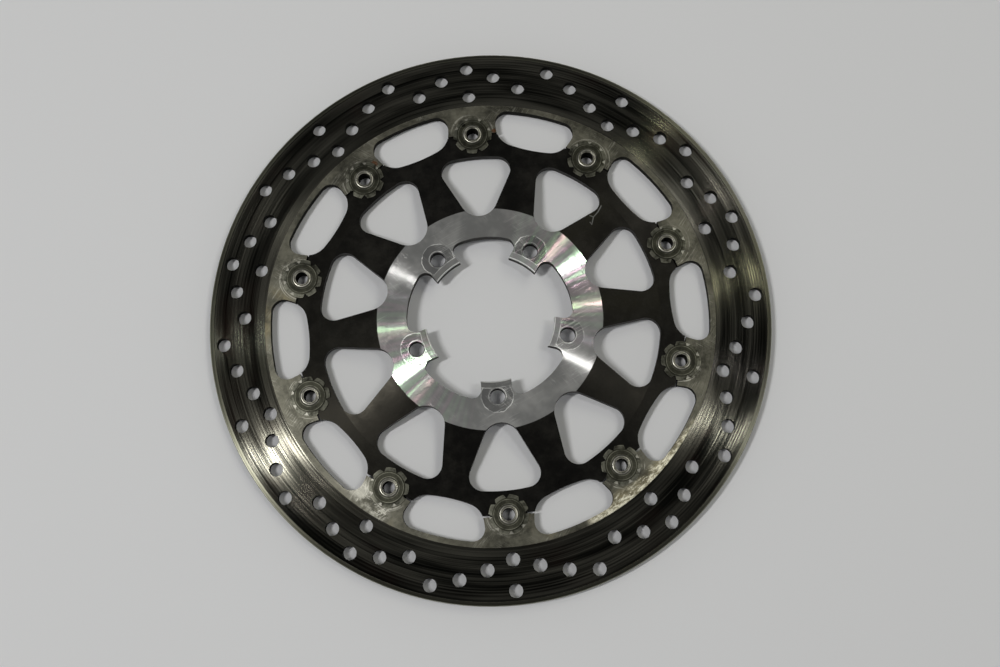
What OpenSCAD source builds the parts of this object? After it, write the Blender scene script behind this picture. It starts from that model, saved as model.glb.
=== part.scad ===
// Floating front brake rotor: a flat steel braking ring carried on ten
// hollow drive bushes round an aluminium carrier. +Z points out of the
// front face. z = 0 is the carrier's seat against the wheel hub, and the
// front face of the braking ring lies in the same plane.

/* [Braking ring] */
// Outer diameter of the braking ring
ring_d = 320; // [310:1:330]
// Thickness of the braking ring
ring_t = 5; // [4:0.5:6]
// Radius of the inner edge between two lugs
ring_inner_r = 125.2; // [124:0.1:126]
// Half width of a lug that holds a bush
lug_half_w = 13.8; // [12.5:0.1:15]
// Diameter of the drilled holes
drill_d = 7.8; // [6:0.1:9]
// Depth that the pads have worn into each face
wear_depth = 0.1; // [0.05:0.05:0.3]

/* [Carrier] */
// Thickness of the central bolt ring
hub_t = 6; // [5:0.5:8]
// Radius of the bare turned face of the bolt ring
hub_r = 64; // [60:0.5:66]
// Radius of the central opening between the bolt lugs
opening_r = 47.2; // [46:0.1:49]
// Radius of the circle on which the bolt lugs end
pilot_r = 36.4; // [35:0.1:38]
// Half width of a bolt lug
bolt_lug_half_w = 8.6; // [8:0.1:10]
// Bolt circle diameter
bolt_pcd = 90; // [88:1:92]
// Diameter of the bolt holes
bolt_d = 8.5; // [8.2:0.1:9]
// Radius at which the sloping arms meet the flat outer rim
rim_inner_r = 97.3; // [96:0.1:98]

/* [Drive bushes] */
// Radius of the circle through the bush centres
bush_circle_r = 110.5; // [110:0.1:111]
// Diameter of the barrel that sits in the notches
barrel_d = 15; // [14:0.5:16]
// Diameter of the flange behind the rotor
flange_d = 21; // [19:0.5:22]
// Diameter of the hole through the bush
bush_bore_d = 6.9; // [6.5:0.1:7.5]
// Outer diameter of the toothed spring washer
spring_washer_d = 22.4; // [21:0.1:23]
// Outer diameter of the flat washer
flat_washer_d = 17; // [15:0.5:18]

/* [Hidden] */
$fn = 96;
STATIONS = 10;
BOLTS = 5;
station_step = 360 / STATIONS;
bolt_step = 360 / BOLTS;
first_angle = 270;
through = 40;          // length of every cutter that passes right through
blend = 0.004;         // overlap of the arcs that run into each other in an outline

// Running clearance between a barrel and its notch, on the radius
notch_gap = 0.06;
// Half of the slit between the carrier and the ring beside each bush
slit_half = 0.5;
// Axial room at each face of a bush
face_gap = 0.05;
// Room under the spring washer's teeth, which is the axial float
float_gap = 0.3;

// Braking ring
ring_r = ring_d / 2;
ring_edge = 0.4;       // chamfer round the outer edge
swept_in_r = 128.3;    // inner edge of the worn track
swept_out_r = ring_r - 2.4;
wear_ramp = 0.25;      // width of the slope at each edge of the track
lug_round_r = 7;       // fillet where a lug meets the ring

// Drilled holes: four circles, and their order round one fifth of the ring
row_a = ring_r - 7.8;
row_b = ring_r - 13.4;
row_c = ring_r - 19.65;
row_d = ring_r - 25;
drill_step = 6;
drill_rows = [[row_a, row_d], [row_c], [row_b], [row_a], [row_c], [row_b],
              [row_a, row_d], [row_b], [row_c], [row_a], [row_b], [row_c]];

// Openings between two bushes, drawn on +X
scallop_r = 90;        // slow curve of the carrier's side
scallop_depth_r = 103.3;
scallop_end_r = 12.5;  // its tighter ends
scallop_end_y = 10;

// Windows between two arms, drawn on +X
window_tip = [70.7, 0];
window_tip_r = 10.9;
window_corner_r = 8.2;
window_corner_angle = 7.67;

// Bolt ring
pocket_corner_r = 5;
pocket_y = bolt_lug_half_w + pocket_corner_r;
pocket_c = [sqrt(pow(opening_r - pocket_corner_r, 2) - pow(pocket_y, 2)), pocket_y];
lip_r = 40.3;          // where the lug's face starts to fall away
lip_drop = 0.7;
lip_edge = 0.4;
bolt_edge = 0.3;

// Bush and washers
neck_r = 5;            // neck that carries the two washers
flange_t = 1.6;
roll_r = 1.05;         // section of the rolled-over rim
roll_inset = 1.1;      // from the wall of the bore to the middle of that section
roll_z = 1.3;
spring_t = 0.6;
spring_rise = 0.35;    // height of the coned spring washer's inner edge
spring_notches = 8;
notch_root_r = 0.7;    // round root of a notch
notch_root_at = 9.9;   // its middle, from the washer's centre
notch_mouth_w = 4;     // width of a notch at the washer's edge
// How far round each spring washer happens to sit on its bush
washer_turns = [2, 32, 34, 40, 20, 16, 5, 25, 11, 3];
flat_z = 1.15;
flat_t = 0.55;
washer_hole_r = neck_r + 0.15;

function unit(a) = [cos(a), sin(a)];
function turned(p, a) = [p.x * cos(a) - p.y * sin(a), p.x * sin(a) + p.y * cos(a)];
function flipped(p) = [p.x, -p.y];
// Outward angle of the straight line that touches two circles, on their right
function touch_angle(c1, r1, c2, r2) =
    atan2(c2.y - c1.y, c2.x - c1.x) - acos((r1 - r2) / norm(c2 - c1));

// Straight-sided outline wrapped round circles listed counter-clockwise
module wrapped(centres, radii) {
    n = len(centres);
    angles = [for (i = [0:n - 1])
        touch_angle(centres[i], radii[i], centres[(i + 1) % n], radii[(i + 1) % n])];
    polygon([for (i = [0:n - 1], side = [0, 1])
        centres[i] + radii[i] * unit(angles[(i + n - 1 + side) % n])]);
    for (i = [0:n - 1]) translate(centres[i]) circle(r = radii[i] + blend);
}

// Part of a circle seen from apex between two points on it
module circle_cap(centre, r, apex, p, q) {
    intersection() {
        translate(centre) circle(r = r, $fn = 360);
        polygon([apex, apex + 2 * (p - apex), apex + 2 * (q - apex)]);
    }
}

module round_the_rotor(count, offset = 0) {
    for (k = [0:count - 1]) rotate(first_angle + offset + k * 360 / count) children();
}

// Rounded triangle between two arms
module window_outline() {
    corner = (rim_inner_r - window_corner_r) * unit(window_corner_angle);
    edge = rim_inner_r * unit(window_corner_angle);
    wrapped([window_tip, flipped(corner), corner],
            [window_tip_r, window_corner_r, window_corner_r]);
    circle_cap([0, 0], rim_inner_r, window_tip, flipped(edge), edge);
}

// Long opening between two bushes, shared by the ring and the carrier
module gap_outline() {
    scallop_c = [scallop_depth_r + scallop_r, 0];
    end_reach = scallop_r - scallop_end_r;
    end_angle = asin(scallop_end_y / end_reach);
    end_c = scallop_c - end_reach * [cos(end_angle), -sin(end_angle)];
    end_touch = scallop_c - scallop_r * [cos(end_angle), -sin(end_angle)];
    lug_y = lug_half_w + lug_round_r;
    lug_x = sqrt(pow(ring_inner_r - lug_round_r, 2) - pow(lug_y, 2));
    lug_c = flipped(turned([lug_x, lug_y], -station_step / 2));
    lug_touch = lug_c * ring_inner_r / norm(lug_c);
    apex = [(scallop_depth_r + ring_inner_r) / 2, 0];
    intersection() {
        wrapped([end_c, flipped(end_c), flipped(lug_c), lug_c],
                [scallop_end_r, scallop_end_r, lug_round_r, lug_round_r]);
        translate([0, -through]) square([lug_c.x, 2 * through]);
    }
    wrapped([flipped(lug_c), lug_c], [lug_round_r, lug_round_r]);
    circle_cap([0, 0], ring_inner_r, apex, flipped(lug_touch), lug_touch);
    circle_cap(scallop_c, scallop_r, apex, end_touch, flipped(end_touch));
}

// Central opening: a pilot circle and five pockets between the bolt lugs
module centre_outline() {
    circle(r = pilot_r);
    round_the_rotor(BOLTS, bolt_step / 2) {
        corner = turned(pocket_c, -bolt_step / 2);
        side = turned([pocket_c.x, bolt_lug_half_w], -bolt_step / 2);
        start = turned([pilot_r - 5, bolt_lug_half_w], -bolt_step / 2);
        edge = corner * opening_r / norm(corner);
        polygon([start, side, edge, flipped(edge), flipped(side), flipped(start)]);
        translate(corner) circle(r = pocket_corner_r);
        translate(flipped(corner)) circle(r = pocket_corner_r);
        circle_cap([0, 0], opening_r, [pilot_r - 5, 0], edge, flipped(edge));
    }
}

// Ten-sided outline whose flats face the bushes
module decagon(flat_r) {
    rotate(first_angle + station_step / 2)
        circle(r = flat_r / cos(station_step / 2), $fn = STATIONS);
}

module notches() {
    round_the_rotor(STATIONS)
        translate([bush_circle_r, 0]) circle(d = barrel_d + 2 * notch_gap);
}

module drilled_holes() {
    for (k = [0:BOLTS * len(drill_rows) - 1])
        for (r = drill_rows[k % len(drill_rows)])
            rotate(first_angle + k * drill_step)
                translate([r, 0, -through / 2]) cylinder(d = drill_d, h = through);
}

module brake_band() {
    color("dimgray") difference() {
        rotate_extrude($fn = 360) polygon([
            [bush_circle_r - 2, -ring_t], [swept_in_r, -ring_t],
            [swept_in_r + wear_ramp, -ring_t + wear_depth],
            [swept_out_r - wear_ramp, -ring_t + wear_depth], [swept_out_r, -ring_t],
            [ring_r - ring_edge, -ring_t], [ring_r, -ring_t + ring_edge],
            [ring_r, -ring_edge], [ring_r - ring_edge, 0],
            [swept_out_r, 0], [swept_out_r - wear_ramp, -wear_depth],
            [swept_in_r + wear_ramp, -wear_depth], [swept_in_r, 0], [bush_circle_r - 2, 0]
        ]);
        translate([0, 0, -through / 2]) linear_extrude(through) {
            decagon(bush_circle_r + slit_half);
            notches();
            round_the_rotor(STATIONS, station_step / 2) gap_outline();
        }
        drilled_holes();
    }
}

module carrier() {
    color("#1c1c1e") difference() {
        rotate_extrude($fn = 360) polygon([
            [pilot_r - 1, 0], [hub_r, 0], [rim_inner_r, -ring_t],
            [bush_circle_r + 8, -ring_t], [bush_circle_r + 8, 0],
            [rim_inner_r, 0], [hub_r, hub_t], [lip_r, hub_t],
            [pilot_r + lip_edge, hub_t - lip_drop],
            [pilot_r - 1, hub_t - lip_drop - lip_edge - 1]
        ]);
        translate([0, 0, -through / 2]) linear_extrude(through) {
            difference() {
                circle(r = ring_r);
                decagon(bush_circle_r - slit_half);
            }
            notches();
            round_the_rotor(STATIONS, station_step / 2) gap_outline();
            round_the_rotor(STATIONS) window_outline();
            centre_outline();
        }
        round_the_rotor(BOLTS) translate([bolt_pcd / 2, 0, 0]) {
            translate([0, 0, -through / 2]) cylinder(d = bolt_d, h = through);
            translate([0, 0, hub_t - bolt_edge])
                cylinder(d1 = bolt_d, d2 = bolt_d + 4 * bolt_edge, h = 2 * bolt_edge);
        }
    }
}

module at_station(k) {
    rotate(first_angle + (k - 1) * station_step) translate([bush_circle_r, 0, 0]) children();
}

// Hollow bush: flange behind, barrel in the notches, neck and rolled-over rim in front
module drive_bush(k) {
    barrel_r = barrel_d / 2;
    bore_r = bush_bore_d / 2;
    flange_z = -ring_t - face_gap;
    under_rim_z = flat_z + flat_t;
    color("#6f6f68") at_station(k) rotate_extrude() difference() {
        union() {
            translate([0, flange_z - flange_t]) square([flange_d / 2, flange_t]);
            translate([0, flange_z - flange_t]) square([barrel_r, ring_t + flange_t]);
            translate([0, flange_z]) square([neck_r, under_rim_z + roll_r / 2 - flange_z]);
            intersection() {
                translate([bore_r + roll_inset, roll_z]) circle(r = roll_r);
                translate([0, under_rim_z]) square([flange_d, roll_r * 2]);
            }
        }
        translate([-1, -through / 2]) square([bore_r + 1, through]);
    }
}

// Outline of one notch, opening outwards along +X
module washer_notch(outer_r) {
    translate([notch_root_at, 0]) circle(r = notch_root_r);
    polygon([
        [notch_root_at, -notch_root_r], [outer_r + 0.1, -notch_mouth_w / 2],
        [outer_r + 0.1, notch_mouth_w / 2], [notch_root_at, notch_root_r]
    ]);
}

// Coned spring washer with eight notches in its edge
module wave_washer(k) {
    outer_r = spring_washer_d / 2;
    color("#55564c") at_station(k) difference() {
        rotate_extrude() polygon([
            [outer_r, float_gap], [outer_r, float_gap + spring_t * 0.7],
            [washer_hole_r, float_gap + spring_rise + spring_t * 0.8],
            [washer_hole_r, float_gap + spring_rise]
        ]);
        for (a = [0:360 / spring_notches:359]) rotate(a + washer_turns[k - 1])
            translate([0, 0, -1]) linear_extrude(height = 4) washer_notch(outer_r);
    }
}

module flat_washer(k) {
    color("#5e5f55") at_station(k) translate([0, 0, flat_z]) difference() {
        cylinder(d = flat_washer_d, h = flat_t);
        translate([0, 0, -1]) cylinder(r = washer_hole_r, h = flat_t + 2);
    }
}

brake_band();
carrier();
for (k = [1:STATIONS]) {
    drive_bush(k);
    wave_washer(k);
    flat_washer(k);
}
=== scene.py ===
import bpy, bmesh, math
from mathutils import Euler, Matrix, Vector


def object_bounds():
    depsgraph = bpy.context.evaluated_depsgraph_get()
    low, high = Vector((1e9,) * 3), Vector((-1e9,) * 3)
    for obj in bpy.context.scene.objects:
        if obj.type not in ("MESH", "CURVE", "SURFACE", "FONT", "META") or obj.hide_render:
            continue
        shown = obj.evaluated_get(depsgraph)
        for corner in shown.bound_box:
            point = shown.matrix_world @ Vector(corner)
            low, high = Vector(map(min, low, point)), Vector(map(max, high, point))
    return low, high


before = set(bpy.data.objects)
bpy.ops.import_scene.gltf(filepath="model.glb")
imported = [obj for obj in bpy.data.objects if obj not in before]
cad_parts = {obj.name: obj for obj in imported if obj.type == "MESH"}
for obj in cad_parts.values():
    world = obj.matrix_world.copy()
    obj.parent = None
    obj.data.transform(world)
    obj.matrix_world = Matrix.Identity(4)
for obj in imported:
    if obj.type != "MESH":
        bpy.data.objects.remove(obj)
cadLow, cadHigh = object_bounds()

stations = 10
stationRadius = 110.5
firstAngle = math.radians(270)
print("frame loaded:", len(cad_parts), "nodes")


class Wire:
    # one output socket, so that material maths reads as ordinary sums
    def __init__(self, shader, socket):
        self.shader, self.socket = shader, socket

    def calc(self, operation, *values):
        return self.shader.make("ShaderNodeMath", {"operation": operation}, dict(enumerate(values)))

    def __add__(self, other): return self.calc("ADD", self, other)
    def __radd__(self, other): return self.calc("ADD", other, self)
    def __sub__(self, other): return self.calc("SUBTRACT", self, other)
    def __rsub__(self, other): return self.calc("SUBTRACT", other, self)
    def __mul__(self, other): return self.calc("MULTIPLY", self, other)
    def __rmul__(self, other): return self.calc("MULTIPLY", other, self)
    def __truediv__(self, other): return self.calc("DIVIDE", self, other)
    def __rtruediv__(self, other): return self.calc("DIVIDE", other, self)
    def __abs__(self): return self.calc("ABSOLUTE", self)
    def sqrt(self): return self.calc("SQRT", self)
    def sin(self): return self.calc("SINE", self)
    def cos(self): return self.calc("COSINE", self)
    def low(self, other): return self.calc("MINIMUM", self, other)
    def high(self, other): return self.calc("MAXIMUM", self, other)
    def angleTo(self, x): return self.calc("ARCTAN2", self, x)
    def wrap(self, top, bottom): return self.calc("WRAP", self, top, bottom)

    def step(self, start, end):
        # 0 before start, 1 after end, smooth between
        return self.shader.make("ShaderNodeMapRange", {"interpolation_type": "SMOOTHSTEP"},
                                {"Value": self, "From Min": start, "From Max": end})

    def within(self, low, high, soft):
        return self.step(low - soft, low + soft) * (1 - self.step(high - soft, high + soft))


class Shader:
    def __init__(self, name):
        self.material = bpy.data.materials.new(name)
        self.material.use_nodes = True
        self.tree = self.material.node_tree
        self.tree.nodes.clear()
        spot = self.tree.nodes.new("ShaderNodeTexCoord")
        self.place = Wire(self, spot.outputs["Object"])
        self.facing = Wire(self, spot.outputs["Normal"])
        self.x, self.y, self.z = [
            self.make("ShaderNodeSeparateXYZ", {}, {0: self.place}, i) for i in range(3)]

    def make(self, kind, settings, sockets, out=0):
        node = self.tree.nodes.new(kind)
        for key, value in settings.items():
            setattr(node, key, value)
        for key, value in sockets.items():
            if isinstance(value, Wire):
                self.tree.links.new(value.socket, node.inputs[key])
            else:
                node.inputs[key].default_value = value
        return Wire(self, node.outputs[out])

    def mix(self, share, first, second):
        return self.make("ShaderNodeMix", {"data_type": "RGBA"}, {0: share, 6: first, 7: second}, 2)

    def vector(self, x, y, z):
        return self.make("ShaderNodeCombineXYZ", {}, {0: x, 1: y, 2: z})

    def noise(self, vector, scale, detail=2.0, rough=0.5):
        return self.make("ShaderNodeTexNoise", {},
                         {"Vector": vector, "Scale": scale, "Detail": detail, "Roughness": rough})

    def bump(self, height, depth, **normal):
        return self.make("ShaderNodeBump", {}, {"Height": height, "Distance": depth, **normal})

    def lean(self, dx, dy, outward, aside=0.0):
        # surface direction tipped away from the axle, and aside along the turning marks
        push = self.vector(dx * outward - dy * aside, dy * outward + dx * aside, 0.0)
        tipped = self.make("ShaderNodeVectorMath", {"operation": "ADD"}, {0: self.facing, 1: push})
        turn = {"vector_type": "NORMAL", "convert_from": "OBJECT", "convert_to": "WORLD"}
        return self.make("ShaderNodeVectorTransform", turn, {"Vector": tipped})

    def metal(self, color, roughness, normal=None, **fixed):
        sockets = {"Base Color": color, "Roughness": roughness, "Metallic": 1.0}
        sockets.update({key.replace("_", " "): value for key, value in fixed.items()})
        if normal is not None:
            sockets["Normal"] = normal
        return self.make("ShaderNodeBsdfPrincipled", {}, sockets)

    def paintedShade(self, color):
        # painted shade: a dull dark wall of a hole, standing in for the shade where light dies away
        return self.make("ShaderNodeBsdfPrincipled", {}, {
            "Base Color": color, "Roughness": 0.9, "Specular IOR Level": 0.05})

    def blend(self, share, first, second):
        return self.make("ShaderNodeMixShader", {}, {0: share, 1: first, 2: second})

    def finish(self, surface):
        end = self.tree.nodes.new("ShaderNodeOutputMaterial")
        self.tree.links.new(surface.socket, end.inputs["Surface"])
        return self.material

    def polar(self):
        # radius in millimetres and the unit direction from the axle
        radius = (self.x * self.x + self.y * self.y).sqrt()
        return radius * 1000, self.x / radius, self.y / radius

    def around(self, radius, count, circle):
        # place beside the nearest of count centres spaced round a circle, in millimetres
        sector = 2 * math.pi / count
        turn = (self.y.angleTo(self.x) - firstAngle).wrap(sector / 2, -sector / 2)
        along, across = radius * turn.cos() - circle, radius * turn.sin()
        return along, across, (along * along + across * across).sqrt()

    def scratches(self, angle, scale):
        # thin broken lines that run the way of the angle
        along = self.x * math.cos(angle) + self.y * math.sin(angle)
        across = self.y * math.cos(angle) - self.x * math.sin(angle)
        ridge = self.noise(self.vector(along * 0.04, across, self.z), scale * 10, 2.0, 0.5)
        where = self.noise(self.place, scale, 1.0, 0.5)
        return (1 - abs(ridge - 0.5).step(0.004, 0.02)) * (where - 0.5).step(0.0, 0.12)

    def stroke(self, start, end, width):
        # one straight nick between two places, in millimetres
        (x0, y0), (x1, y1) = start, end
        length = math.hypot(x1 - x0, y1 - y0)
        ux, uy = (x1 - x0) / length, (y1 - y0) / length
        offX, offY = self.x * 1000 - x0, self.y * 1000 - y0
        along = offX * ux + offY * uy
        beside = offY * ux - offX * uy
        past = along - along.high(0.0).low(length)
        return 1 - (beside * beside + past * past).sqrt().step(width * 0.3, width)

    def rise(self):
        # 1 on the front face, 0 on walls, -1 on the back face
        return self.make("ShaderNodeSeparateXYZ", {}, {0: self.facing}, 2)

    def upness(self):
        return abs(self.rise())


def rgb(red, paintedGreen, blue):
    return (red, paintedGreen, blue, 1.0)


# radii and places in millimetres
steelLook = {
    "sweptIn": 128.4, "sweptOut": 157.5, "shoulder": 133.4, "rimStart": 159.55,
    "track": rgb(0.22, 0.214, 0.176), "trackDark": rgb(0.0125, 0.013, 0.011),
    "heated": rgb(0.034, 0.017, 0.014), "roughness": 0.18, "lipRoughness": 0.12,
    "groovePitch": 4.4, "grooveDrift": 9, "grooveDepth": 0.22, "grooveLean": 0.13, "sway": 0.045,
    "inner": rgb(0.042, 0.0415, 0.033), "innerPale": rgb(0.215, 0.209, 0.168),
    "gold": rgb(0.30, 0.25, 0.13), "innerRoughness": 0.44, "relief": 0.00006,
    # wall: painted shade for the walls of the holes
    "edge": rgb(0.22, 0.218, 0.17), "rim": rgb(0.36, 0.37, 0.31), "wall": rgb(0.02, 0.02, 0.018),
    "scar": rgb(0.62, 0.61, 0.54), "rub": (11.3, 13.4), "polish": (8.8, 10.8),
    "scuff": [(-88.4, -78.8), (-71.8, -102.5), 8.0],
    # painted reflection of a lamp on the lugs at one side: its strokes, reach, streak direction and colours
    "paintedFlashPatch": [[(50.0, -116.0), (76.8, -103.5), 9.0], [(76.8, -103.5), (111.0, -74.5), 9.0]],
    "paintedFlashFrom": (10.5, 12.5), "paintedFlashWay": (0.8, 0.6),
    "paintedFlashColor": rgb(1.0, 0.97, 0.80), "paintedFlashGround": rgb(0.34, 0.30, 0.18),
    "rust": rgb(0.15, 0.055, 0.02), "rustSpots": [(12.6, 112.2, 1.3), (-58.4, 99.2, 2.2)],
}


def brakingSteel(look):
    s = Shader("brakingSteel")
    radius, dx, dy = s.polar()
    face = s.upness().step(0.6, 0.95)
    broad = s.noise(s.vector(radius * 0.15, dx * 2.0, dy * 2.0), 1.0, 2.0, 0.6)
    lines = s.noise(s.vector(radius * 1.3, dx * 0.12, dy * 0.12), 1.0, 3.0, 0.8)
    fine = s.noise(s.vector(radius * 2.9, dx * 0.12, dy * 0.12), 1.0, 2.0, 0.75)
    cloud = s.noise(s.place, 30.0, 4.0, 0.6)
    speck = s.noise(s.place, 420.0, 3.0, 0.7)
    # turned track
    swept = radius.within(look["sweptIn"], look["sweptOut"], 0.25) * face
    shoulder = 1 - radius.step(look["shoulder"] - 0.5, look["shoulder"] + 0.3)
    grooves = (lines * 1.2 + fine * 0.8 + broad * 0.9 + shoulder * 0.08 - 1.05).step(0.20, 0.76)
    line = radius.within(look["shoulder"] - 0.15, look["shoulder"] + 0.15, 0.1)
    heat = (s.noise(s.place, 16.0, 3.0, 0.6) - 0.5).step(0.0, 0.12)
    trackColor = s.mix(heat * 0.5, look["trackDark"], look["heated"])
    trackColor = s.mix(grooves * (1 - line * 0.6), trackColor, look["track"])
    trackRough = look["roughness"] + (lines - 0.5) * 0.12 + (fine - 0.5) * 0.10 + shoulder * 0.03
    drift = s.noise(s.vector(radius * 0.5, dx * 0.1, dy * 0.1), 1.0, 0.0, 0.5)
    groove = (radius * look["groovePitch"] + drift * look["grooveDrift"]).sin() * look["grooveDepth"]
    groove = groove + (fine - 0.5) * 0.6 + (lines - 0.5) * 0.4
    sway = s.noise(s.vector(radius * 0.13, dx * 1.3, dy * 1.3), 1.0, 1.0, 0.5) - 0.5
    turned = s.lean(dx, dy, groove * look["grooveLean"], sway * look["sway"])
    track = s.metal(trackColor, trackRough, turned, Anisotropic=1.0, Anisotropic_Rotation=0.25)
    # lugs: dirt, rubs round each bush, one scuffed lug
    scratches = s.scratches(0.9, 70.0) + s.scratches(-0.6, 90.0) * 0.7
    patches = s.noise(s.place, 75.0, 4.0, 0.7)
    dirt = (cloud * 0.7 + patches * 0.7 + speck * 0.3 + lines * 0.3 - 0.6).step(0.12, 0.7)
    fromBush = s.around(radius, stations, stationRadius)[2]
    rubs = s.noise(s.vector(fromBush * 2.2, s.x * 40, s.y * 40), 1.0, 2.0, 0.6)
    rubs = (rubs - 0.54).step(0.0, 0.08) * fromBush.within(*look["rub"], 0.3)
    rubs = rubs * (patches - 0.42).step(0.0, 0.12)
    innerColor = s.mix(dirt, look["inner"], look["innerPale"])
    golden = s.noise(s.place, 18.0, 3.0, 0.6)
    innerColor = s.mix((golden - 0.55).step(0.0, 0.15) * dirt * 0.8, innerColor, look["gold"])
    onFront = s.rise().step(0.0, 0.5)
    scuffed = s.stroke(*look["scuff"]) * onFront
    crossed = s.scratches(0.9, 110.0) + s.scratches(-0.75, 120.0) + s.scratches(0.3, 95.0)
    crossed = crossed * 1.6 + (patches - 0.42).step(0.0, 0.14) * 0.55
    polish = fromBush.within(*look["polish"], 0.3) * (patches * 1.6 - 0.2)
    scarred = (scratches * 0.3 + rubs * 0.6 + polish + scuffed * crossed).low(1.0)
    innerColor = s.mix(scarred, innerColor, look["scar"])
    # painted reflection of a lamp: a gold patch with bright streaks on the lugs along one side
    paintedFlashPatch = sum(s.stroke(*stroke) for stroke in look["paintedFlashPatch"]).low(1.0)
    paintedFlashPatch = paintedFlashPatch * fromBush.step(*look["paintedFlashFrom"]) * onFront
    wayX, wayY = look["paintedFlashWay"]
    leanX, leanY = s.x * wayX + s.y * wayY, s.y * wayX - s.x * wayY
    paintedFlashStreaks = s.noise(s.vector(leanX * 0.4, leanY, s.z), 680.0, 4.0, 0.85)
    edgeward = (radius - 125) * 0.03
    paintedFlashGroundShare = paintedFlashPatch * (patches * 1.6 + edgeward - 0.25).step(0.0, 1.0)
    innerColor = s.mix(paintedFlashGroundShare, innerColor, look["paintedFlashGround"])
    glint = (paintedFlashStreaks * 1.3 + patches * 0.6 + edgeward - 0.88).step(0.0, 0.28)
    innerColor = s.mix(paintedFlashPatch * glint, innerColor, look["paintedFlashColor"])
    # outer edge and rust
    innerColor = s.mix(radius.step(look["sweptOut"], look["sweptOut"] + 0.4), innerColor, look["edge"])
    chamfer = radius.step(look["rimStart"], look["rimStart"] + 0.1) * s.upness().step(0.05, 0.3)
    innerColor = s.mix(chamfer * (0.4 + cloud * 0.8).low(1.0), innerColor, look["rim"])
    for spotX, spotY, size in look["rustSpots"]:
        offX, offY = (s.x * 1000 - spotX) / size, (s.y * 1000 - spotY) / size
        rusty = 1 - (offX * offX + offY * offY + (speck - 0.5) * 3 + (cloud - 0.5) * 2).step(0.1, 1.3)
        innerColor = s.mix(rusty * 0.8, innerColor, look["rust"])
    innerRough = look["innerRoughness"] + (cloud - 0.5) * 0.3 + (speck - 0.5) * 0.2
    innerRough = innerRough + (patches - 0.5) * 0.2 + chamfer * 0.22
    relief = s.bump(cloud * 0.3 + patches * 0.3 + speck * 0.3 + lines * 0.2, look["relief"])
    inner = s.metal(innerColor, innerRough, relief, Anisotropic=0.3, Anisotropic_Rotation=0.25)
    lipColor = s.mix(grooves * 0.5 + 0.4, look["trackDark"], look["edge"])
    lip = s.metal(lipColor, trackRough + look["lipRoughness"], turned,
                  Anisotropic=0.9, Anisotropic_Rotation=0.25)
    inner = s.blend(radius.step(look["sweptOut"], look["sweptOut"] + 0.3) * face * (1 - chamfer), inner, lip)
    # the slope at the edge of the worn track, and the walls, which are painted dark as painted shade
    wall = 1 - s.upness().step(0.05, 0.3)
    sloped = 1 - s.upness().step(0.97, 0.997)
    ledge = radius.within(look["sweptOut"] - 0.6, look["sweptOut"] + 0.6, 0.1) * sloped
    steel = s.blend(ledge, s.blend(swept, inner, track), s.metal(look["trackDark"], 0.7))
    return s.finish(s.blend(wall, steel, s.paintedShade(look["wall"])))


carrierLook = {
    "ringRadius": 64.0, "faceZ": 5.2, "boltCircle": 45.0, "bolts": 5, "lugHalf": 8.6, "pilot": 36.9,
    "black": rgb(0.0045, 0.0045, 0.0045), "dust": rgb(0.016, 0.0155, 0.014),
    "blackRoughness": 0.35, "blackGloss": 0.135, "blackTint": rgb(1.0, 0.93, 0.76),
    "bare": rgb(0.315, 0.315, 0.318), "bareDark": rgb(0.142, 0.142, 0.146), "roughness": 0.155,
    "bright": rgb(0.95, 0.95, 0.93), "worn": rgb(0.64, 0.65, 0.645), "wornShare": 0.215,
    # wall: painted shade for the walls of the bare ring
    "wall": rgb(0.025, 0.026, 0.03), "flank": 0.24,
    # pink and green: painted highlight colours for the flashes on the turned face
    "paintedPink": rgb(0.55, 0.36, 0.46), "paintedGreen": rgb(0.37, 0.55, 0.37), "tintWay": (0.89, 0.45), "paintedRainbowShare": 0.75,
    "markRadius": 9.3, "markCut": 40.3, "holeRim": 4.9, "nickWidth": 0.42,
    "nicks": [((70.2, 60.4), (67.9, 56.8)), ((67.9, 56.8), (64.9, 53.8)), ((64.9, 53.8), (63.4, 49.3)),
              ((64.9, 53.8), (62.9, 54.8)), ((62.6, 50.6), (63.4, 49.3))],
}


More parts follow.
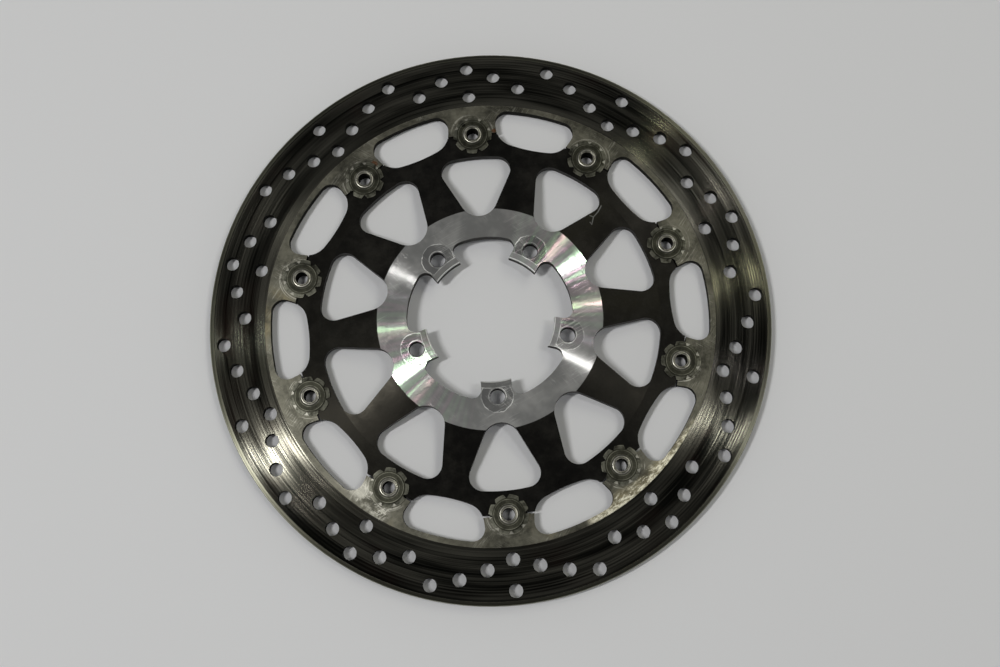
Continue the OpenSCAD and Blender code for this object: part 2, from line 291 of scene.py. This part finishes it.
def carrierMetal(look):
    s = Shader("carrierMetal")
    radius, dx, dy = s.polar()
    up = s.upness()
    cloud = s.noise(s.place, 40.0, 4.0, 0.6)
    lines = s.noise(s.vector(radius * 1.6, dx * 1.2, dy * 1.2), 1.0, 4.0, 0.65)
    fine = s.noise(s.vector(radius * 5.0, dx * 2.0, dy * 2.0), 1.0, 3.0, 0.6)
    speck = s.noise(s.place, 900.0, 2.0, 0.6)
    # coated arms
    mottle = s.noise(s.place, 130.0, 4.0, 0.7)
    dusty = (cloud * 0.5 + mottle * 0.5 + speck * 0.2 - 0.3).step(0.2, 0.5)
    blackColor = s.mix(dusty, look["black"], look["dust"])
    nick = sum(s.stroke(start, end, look["nickWidth"]) for start, end in look["nicks"])
    nick = nick.low(1.0) * (mottle * 0.5) * s.rise().step(0.0, 0.5)
    blackColor = s.mix(nick, blackColor, look["worn"])
    black = s.make("ShaderNodeBsdfPrincipled", {}, {
        "Base Color": blackColor, "Metallic": 0.0,
        "Roughness": look["blackRoughness"] + (cloud - 0.5) * 0.3 + (mottle - 0.5) * 0.25,
        "Specular IOR Level": look["blackGloss"], "Specular Tint": look["blackTint"],
        "Anisotropic": 0.9, "Anisotropic Rotation": 0.25,
        "Normal": s.bump(mottle * 0.7 + lines * 0.3 + speck * 0.3, 0.00004)})
    # witness marks left by the bolts
    across, fromBolt = s.around(radius, look["bolts"], look["boltCircle"])[1:]
    wobble = (cloud - 0.5) * 1.8 + (mottle - 0.5) * 2.4
    patchy = (s.noise(s.place, 110.0, 3.0, 0.6) - 0.40).step(0.0, 0.22)
    onFace = radius.step(look["markCut"] - 0.1, look["markCut"] + 0.1)
    markRim = (fromBolt + wobble).within(look["markRadius"] - 0.35, look["markRadius"], 0.15) * onFace
    onLug = 1 - abs(across).step(look["lugHalf"] - 0.3, look["lugHalf"])
    cutLine = (radius + wobble * 0.3).within(look["markCut"] - 0.25, look["markCut"] + 0.1, 0.1) * onLug
    holeRim = fromBolt.within(look["holeRim"] - 0.25, look["holeRim"] + 0.25, 0.2) * 0.8
    marks = ((markRim + cutLine + holeRim) * (0.15 + patchy * 0.85)).low(1.0)
    markPad = (1 - (fromBolt + wobble).step(look["markRadius"] - 0.4, look["markRadius"])) * onFace
    # bare turned face
    # painted highlight: the pilot edge at the lug tips is painted bright, given the worn lobe and kept out of
    # the dark walls
    lip = 1 - radius.step(look["pilot"], look["pilot"] + 0.25)
    smudge = (s.noise(s.place, 55.0, 3.0, 0.65) - 0.35).step(0.05, 0.4)
    scratches = (s.scratches(0.4, 60.0) + s.scratches(-0.9, 80.0)) * (0.25 + markPad * 0.75)
    rays = s.noise(s.vector(dx * 38.0, dy * 38.0, radius * 0.02), 1.0, 2.0, 0.7)
    grain = (lines * 0.5 + fine * 0.4 + rays * 0.6 - 0.25).step(0.25, 0.75)
    bareColor = s.mix(grain * 0.65 + smudge * 0.35, look["bareDark"], look["bare"])
    bareColor = s.mix(markPad * 0.35, bareColor, look["bareDark"])
    # painted highlight colour: pink and green streaks painted only at the azimuths where the turned face
    # flashes the lamps
    tintX, tintY = look["tintWay"]
    flashing = abs(dx * tintX + dy * tintY).step(0.6, 0.85) * look["paintedRainbowShare"]
    tint = s.noise(s.vector(dx * 20.0, dy * 20.0, radius * 0.02), 1.0, 1.0, 0.6)
    bareColor = s.mix((marks + scratches * 0.5 + lip).low(1.0), bareColor, look["bright"])
    paintedRainbow = s.mix((tint - 0.54).step(0.0, 0.03) * flashing, bareColor, look["paintedPink"])
    paintedRainbow = s.mix((0.46 - tint).step(0.0, 0.03) * flashing, paintedRainbow, look["paintedGreen"])
    groove = s.noise(s.vector(radius * 2.6, dx * 0.8, dy * 0.8), 1.0, 2.0, 0.7) - 0.5
    turnedRough = look["roughness"] + (lines - 0.5) * 0.05 + markPad * 0.08 + smudge * 0.02
    flanks = [s.metal(paintedRainbow, turnedRough,
                      s.bump(marks + scratches * 0.5, 0.00003, Normal=s.lean(dx, dy, groove * 0.3 + side)),
                      Anisotropic=1.0, Anisotropic_Rotation=0.25)
              for side in (look["flank"], -look["flank"])]
    wornColor = s.mix(smudge * 0.5, look["worn"], look["bright"])
    worn = s.metal(s.mix(markPad * (1 - marks) * 0.5, wornColor, look["bareDark"]), 0.5)
    wornShare = look["wornShare"] + marks * 0.6 + lip + smudge * 0.06 + scratches * 0.3
    bare = s.blend(wornShare.low(1.0), s.blend(0.5, *flanks), worn)
    # the bolt ring is bare on both faces
    front = (s.z * 1000).step(look["faceZ"] - 0.7, look["faceZ"] - 0.5)
    back = 1 - abs(s.z * 1000).step(0.02, 0.08)
    ring = (1 - radius.step(look["ringRadius"] - 0.15, look["ringRadius"] + 0.02)) * up.step(0.4, 0.6)
    # painted shade: the walls of the bare ring get the dark dull wall, except at the painted lip
    bare = s.blend((1 - up.step(0.05, 0.3)) * (1 - lip), bare, s.paintedShade(look["wall"]))
    return s.finish(s.blend((front + back).low(1.0) * ring, black, bare))


# radii from each bush's own axis, in millimetres
bushLook = {
    "bright": rgb(0.70, 0.68, 0.60), "mid": rgb(0.15, 0.148, 0.125), "dull": rgb(0.045, 0.045, 0.037),
    # dark: painted shade for the bore
    "dark": rgb(0.015, 0.015, 0.013), "roughness": 0.34, "bore": 3.45, "rimZ": 1.7, "paintedCrestLight": (3.6, 5.5),
    # crest and rings: painted highlight on the rolled rim
    "rings": [(3.55, 3.9, 0.7), (4.6, 5.1, 1.0)],
}
washerLook = {
    "dull": rgb(0.030, 0.030, 0.023), "pale": rgb(0.082, 0.082, 0.062), "edge": rgb(0.30, 0.30, 0.24),
    "tab": rgb(0.17, 0.17, 0.14), "tabs": (9.2, 11.0), "rings": [5.9, 8.3, 11.0], "roughness": 0.40,
    "stain": rgb(0.006, 0.006, 0.005), "stains": [(103.6, 42.5), (-4.8, 116.9)],
    "springGrain": 260.0, "flatGrain": 180.0,
}


def bushSteel(look):
    s = Shader("bushSteel")
    radius = s.polar()[0]
    fromAxis = s.around(radius, stations, stationRadius)[2]
    cloud = s.noise(s.place, 300.0, 3.0, 0.6)
    # painted highlight: the rolled crest is painted lighter than the rest, with two bright rings painted on
    # it
    low, high = look["paintedCrestLight"]
    paintedCrestLight = (s.z * 1000).step(look["rimZ"] - 0.2, look["rimZ"] + 0.3) * fromAxis.within(low, high, 0.2)
    color = s.mix(paintedCrestLight, look["dull"], look["mid"])
    for start, end, share in look["rings"]:
        ring = paintedCrestLight * fromAxis.within(start, end, 0.15) * share
        color = s.mix(ring * (cloud * 1.6 - 0.2).low(1.0), color, look["bright"])
    steel = s.metal(color, look["roughness"] + (cloud - 0.5) * 0.3, s.bump(cloud, 0.00004))
    # painted shade: the bore gets a dark dull wall
    inBore = 1 - fromAxis.step(look["bore"], look["bore"] + 0.15)
    return s.finish(s.blend(inBore, steel, s.paintedShade(look["dark"])))


def washerSteel(name, look, scale):
    s = Shader(name)
    radius = s.polar()[0]
    fromAxis = s.around(radius, stations, stationRadius)[2]
    cloud = s.noise(s.place, scale, 4.0, 0.65)
    speck = s.noise(s.place, scale * 6, 2.0, 0.6)
    color = s.mix((cloud * 0.8 + speck * 0.4 - 0.2).step(0.2, 0.75), look["dull"], look["pale"])
    tabs = fromAxis.within(*look["tabs"], 0.15) * cloud.step(0.3, 0.6)
    color = s.mix(tabs * 0.7, color, look["tab"])
    for stainX, stainY in look["stains"]:
        offX, offY = s.x * 1000 - stainX, s.y * 1000 - stainY
        stain = 1 - (offX * offX + offY * offY + (cloud - 0.5) * 2).step(1.0, 2.4)
        color = s.mix(stain * 0.85, color, look["stain"])
    for ring in look["rings"]:
        worn = fromAxis.within(ring - 0.15, ring + 0.15, 0.1)
        color = s.mix(worn * (cloud * 1.2 - 0.1).step(0.2, 0.8) * 0.8, color, look["edge"])
    rough = look["roughness"] + (cloud - 0.5) * 0.3
    return s.finish(s.metal(color, rough, s.bump(cloud * 0.6 + speck * 0.4, 0.00005)))


def dress(node, material):
    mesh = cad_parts[node].data
    mesh.materials.clear()
    mesh.materials.append(material)


dress("brake_band", brakingSteel(steelLook))
dress("carrier", carrierMetal(carrierLook))
bushMaterial = bushSteel(bushLook)
springMaterial = washerSteel("springSteel", washerLook, washerLook["springGrain"])
flatMaterial = washerSteel("flatWasherSteel", washerLook, washerLook["flatGrain"])
for k in range(1, stations + 1):
    dress("drive_bush_%d" % k, bushMaterial)
    dress("wave_washer_%d" % k, springMaterial)
    dress("flat_washer_%d" % k, flatMaterial)
print("metals made")


floorLook = {"size": 30.0, "gap": 0.00005, "color": rgb(0.845, 0.855, 0.885), "roughness": 0.75}


def makeFloor(look):
    bm = bmesh.new()
    bmesh.ops.create_grid(bm, x_segments=1, y_segments=1, size=look["size"] / 2)
    bmesh.ops.translate(bm, verts=bm.verts, vec=(0, 0, cadLow.z - look["gap"]))
    mesh = bpy.data.meshes.new("floor")
    bm.to_mesh(mesh)
    floor = bpy.data.objects.new("floor", mesh)
    bpy.context.collection.objects.link(floor)
    s = Shader("paleFloor")
    paint = s.make("ShaderNodeBsdfPrincipled", {}, {
        "Base Color": look["color"], "Roughness": look["roughness"], "Specular IOR Level": 0.2})
    mesh.materials.append(s.finish(paint))


# flash: direction round the axle in which turned faces flash the lamp back; reach: how far
# the lamp stands off that flash, so a large reach lights the floor more and the metal less
lampLook = {
    "distance": 2.4, "length": 0.6,
    "strips": [
        {"flash": 208.0, "reach": 0.52, "width": 0.10, "power": 18.5, "color": (1.0, 0.99, 0.96)},
        {"flash": 328.0, "reach": 0.50, "width": 0.06, "power": 4.8, "color": (1.0, 0.99, 0.94)},
        {"flash": 2.5, "reach": 0.52, "width": 0.04, "power": 1.8, "color": (1.0, 0.99, 0.72)},
        {"flash": 41.0, "reach": 0.52, "width": 0.035, "power": 1.6, "color": (0.98, 1.0, 0.74)},
        {"flash": 219.0, "reach": 0.52, "width": 0.02, "power": 0.55, "color": (1.0, 0.93, 0.94)},
        {"flash": 341.0, "reach": 0.52, "width": 0.02, "power": 0.45, "color": (0.98, 0.92, 1.0)},
        {"flash": 181.0, "reach": 0.52, "width": 0.025, "power": 0.8, "color": (0.93, 1.0, 0.92)},
        {"flash": 20.0, "reach": 0.52, "width": 0.025, "power": 1.0, "color": (1.0, 0.94, 0.92)},
    ],
}


def makeStrip(number, strip, look, sight):
    angle = math.radians(strip["flash"])
    along = Vector((math.cos(angle), math.sin(angle), 0))
    flat = along * strip["reach"] - Vector((sight.x, sight.y, 0))
    way = Vector((flat.x, flat.y, math.sqrt(1 - flat.length_squared)))
    side = along.cross(way).normalized()
    data = bpy.data.lights.new("strip%d" % number, "AREA")
    data.shape, data.size, data.size_y = "RECTANGLE", strip["width"], look["length"]
    data.energy, data.color = strip["power"], strip["color"]
    lamp = bpy.data.objects.new(data.name, data)
    basis = Matrix((side, way.cross(side), way)).transposed().to_4x4()
    lamp.matrix_world = Matrix.Translation(way * look["distance"]) @ basis
    bpy.context.collection.objects.link(lamp)


cameraLook = {"place": (-0.0001, -0.1438, 0.7134), "turn": (10.724, 0.637, -5.455), "lens": 46.0}


def makeCamera(look):
    data = bpy.data.cameras.new("camera")
    data.lens, data.sensor_width = look["lens"], 36.0
    camera = bpy.data.objects.new("camera", data)
    camera.location = look["place"]
    camera.rotation_euler = Euler([math.radians(a) for a in look["turn"]])
    bpy.context.collection.objects.link(camera)
    bpy.context.scene.camera = camera


makeFloor(floorLook)
for number, strip in enumerate(lampLook["strips"]):
    makeStrip(number, strip, lampLook, Vector(cameraLook["place"]).normalized())
makeCamera(cameraLook)


roomLook = {"color": rgb(1.0, 0.995, 0.985), "overhead": 0.118, "horizon": 0.74, "fade": (0.08, 0.50)}


def makeRoom(look):
    # dim overhead and paler towards the walls
    world = bpy.data.worlds.new("room")
    bpy.context.scene.world = world
    world.use_nodes = True
    nodes, links = world.node_tree.nodes, world.node_tree.links
    spot = nodes.new("ShaderNodeTexCoord")
    split = nodes.new("ShaderNodeSeparateXYZ")
    fade = nodes.new("ShaderNodeMapRange")
    fade.interpolation_type = "SMOOTHSTEP"
    fade.inputs["From Min"].default_value, fade.inputs["From Max"].default_value = look["fade"]
    fade.inputs["To Min"].default_value = look["horizon"]
    fade.inputs["To Max"].default_value = look["overhead"]
    links.new(spot.outputs["Generated"], split.inputs[0])
    links.new(split.outputs[2], fade.inputs["Value"])
    links.new(fade.outputs[0], nodes["Background"].inputs["Strength"])
    nodes["Background"].inputs["Color"].default_value = look["color"]


makeRoom(roomLook)
bpy.context.scene.view_settings.view_transform = "Standard"
print("studio made")
